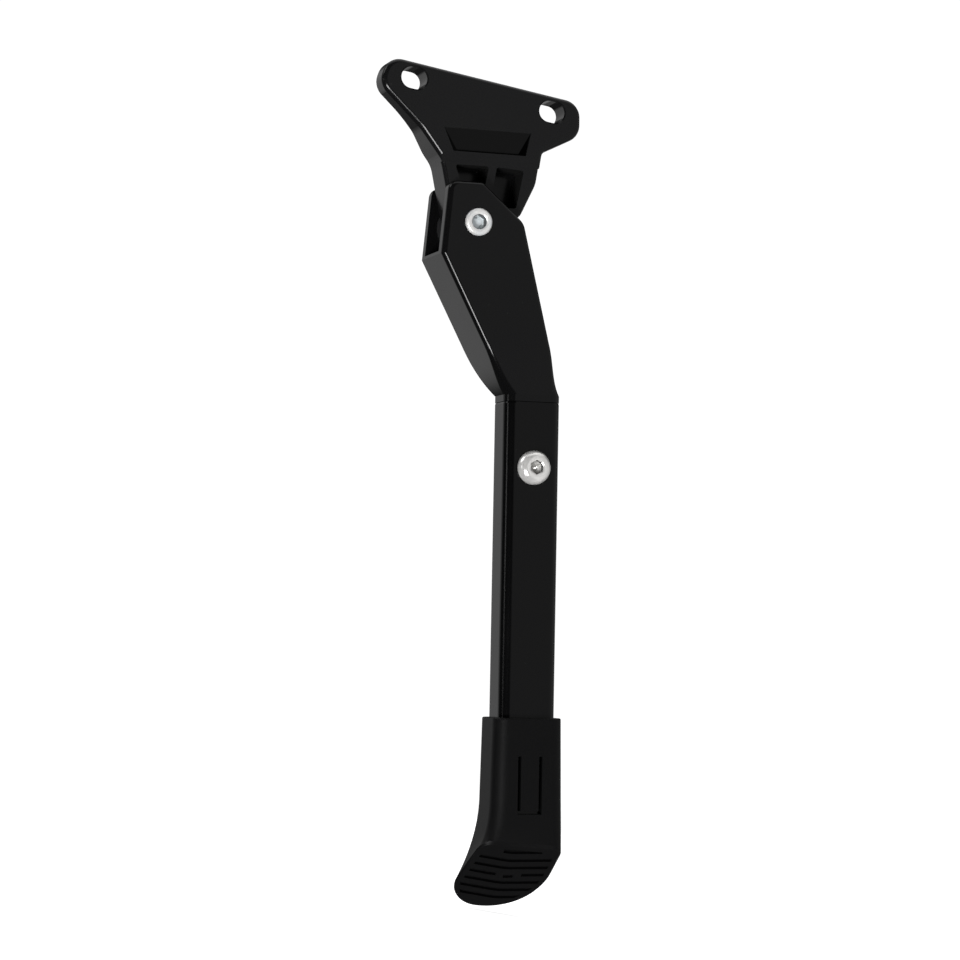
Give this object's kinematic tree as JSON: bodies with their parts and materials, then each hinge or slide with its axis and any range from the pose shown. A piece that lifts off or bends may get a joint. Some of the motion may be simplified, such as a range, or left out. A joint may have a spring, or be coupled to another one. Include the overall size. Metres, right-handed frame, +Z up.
{
  "type": "electric scooter kickstand",
  "caption": "Folding side stand: a slotted cast bracket, a forked arm with a spring detent on its pivot, a flat-sided tube leg and a flared rubber foot.",
  "frame": {"origin": "on the bracket's mating face, midway between the two slotted frame-bolt holes", "axes": "+X along the bolt holes, away from the side the leg folds to; +Y from the mating face outwards, through the bracket; +Z up, the leg hangs down when deployed"},
  "size_m": [0.0977, 0.0305, 0.2482],
  "materials": {
    "bracket_paint": "gloss black paint on a casting",
    "arm_paint": "gloss black paint on a casting",
    "tube_paint": "gloss black paint on a drawn tube",
    "pivot_zinc": "bright zinc plate",
    "screw_stainless": "polished stainless",
    "bush_bronze": "plain sintered bronze",
    "washer_plastic": "plain black nylon",
    "detent_steel": "hardened steel, oiled",
    "spring_steel": "bare spring wire, oiled",
    "boot_rubber": "matt black moulded rubber"
  },
  "bodies": {
    "bracket": {"mounting_bracket": "bracket_paint", "pivot_bush": "bush_bronze"},
    "leg": {"leg_arm": "arm_paint", "pivot_bolt": "pivot_zinc", "thrust_washers": "washer_plastic", "pivot_washer": "pivot_zinc", "pivot_nut": "pivot_zinc", "detent_spring": "spring_steel", "leg_tube": "tube_paint", "tube_screw": "screw_stainless", "foot_boot": "boot_rubber"},
    "plunger": {"detent_plunger": "detent_steel"}
  },
  "joints": [
    {"name": "leg_fold", "type": "hinge", "parent": "bracket", "child": "leg", "pos_m": [0.0042, 0.008, -0.0395], "axis": [0, 1, 0], "range_deg": [0, 86]},
    {"name": "plunger_slide", "type": "slide", "parent": "leg", "child": "plunger", "axis": [-0.289, 0, 0.9573], "range_m": [-0.0005, 0.0015], "stiffness_N_per_m": 3000, "deforming": ["detent_spring"]}
  ]
}
